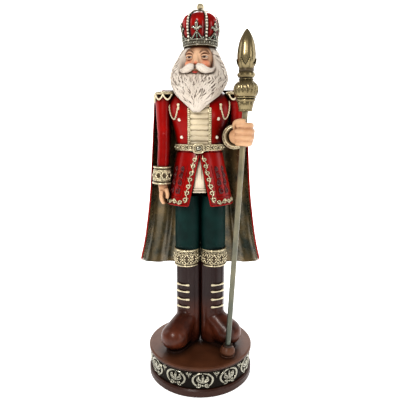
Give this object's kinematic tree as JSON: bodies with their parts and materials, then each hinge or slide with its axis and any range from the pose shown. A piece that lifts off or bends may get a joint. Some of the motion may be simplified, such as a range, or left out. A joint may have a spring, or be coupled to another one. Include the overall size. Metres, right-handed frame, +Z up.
{
  "type": "nutcracker figure",
  "caption": "Standing nutcracker king, 914 mm high, on a round base: crown, white beard, red coat and cape, and a staff that turns and lifts out of its socket.",
  "frame": {"origin": "middle of the base's underside", "axes": "+Z up, the figure faces -Y, its left hand with the staff is on +X"},
  "size_m": [0.3198, 0.268, 0.914],
  "materials": {
    "felt": "matte",
    "base_brown": "satin",
    "dark_recess": "matte",
    "antique_silver": "satin",
    "ballast": "matte",
    "steel": "satin",
    "black_metal": "satin",
    "boot_leather": "satin",
    "dark_sole": "matte",
    "cream_cord": "satin",
    "antique_gold": "satin",
    "green_trousers": "satin",
    "red_coat": "gloss",
    "cream_shirt": "satin",
    "pearl": "gloss",
    "skin": "satin",
    "white_beard": "satin",
    "crown_silver": "satin",
    "crown_red": "gloss",
    "cape_red": "satin",
    "bush_nylon": "matte",
    "staff_gold": "satin"
  },
  "bodies": {
    "figure": {"ballast_block": "ballast", "base_cover_plate": "base_brown", "base_drum": "base_brown", "base_felt_pad": "felt", "base_frieze_band": "dark_recess", "base_palmettes": "antique_silver", "base_scroll_medallions": "antique_silver", "beard": "white_beard", "belt": "antique_gold", "belt_buckle": "antique_gold", "belt_medallions": "antique_gold", "boot_laces": "cream_cord", "cape": "cape_red", "chest_cords": "cream_cord", "coat_body": "red_coat", "coat_buttons": "pearl", "cover_screws": "steel", "crown_arches": "crown_silver", "crown_band": "crown_silver", "crown_cap": "crown_red", "crown_finial": "crown_silver", "crown_points": "crown_silver", "head": "skin", "lapel_trims": "antique_gold", "left_boot": "boot_leather", "left_boot_sole": "dark_sole", "left_cuff": "antique_gold", "left_epaulette": "antique_gold", "left_fist": "skin", "left_knee_cuff": "antique_gold", "left_skirt_panel": "red_coat", "left_sleeve": "red_coat", "left_trouser_leg": "green_trousers", "moustache": "white_beard", "right_boot": "boot_leather", "right_boot_sole": "dark_sole", "right_cuff": "antique_gold", "right_epaulette": "antique_gold", "right_hand": "skin", "right_knee_cuff": "antique_gold", "right_skirt_panel": "red_coat", "right_sleeve": "red_coat", "right_trouser_leg": "green_trousers", "shirt_tail": "cream_shirt", "skirt_scroll_trim": "antique_gold", "staff_boss": "base_brown", "tether_bracket": "black_metal", "tie_rod_nuts": "steel", "tie_rod_washers": "steel", "tie_rods": "steel", "waistcoat_front": "cream_shirt"},
    "staff_bush": {"staff_bush": "bush_nylon"},
    "staff": {"staff_pole": "staff_gold", "staff_end_cap": "staff_gold", "staff_cup": "staff_gold", "staff_knop": "staff_gold", "staff_ring": "staff_gold", "staff_petals": "staff_gold", "staff_flame": "staff_gold"}
  },
  "joints": [
    {"name": "staff_turn", "type": "hinge", "parent": "figure", "child": "staff_bush", "pos_m": [0.0664, -0.0767, 0.078], "axis": [0.0529, -0.026, 0.9983], "continuous": true},
    {"name": "staff_lift", "type": "slide", "parent": "staff_bush", "child": "staff", "axis": [0.0529, -0.026, 0.9983], "range_m": [0, 0.59]}
  ]
}
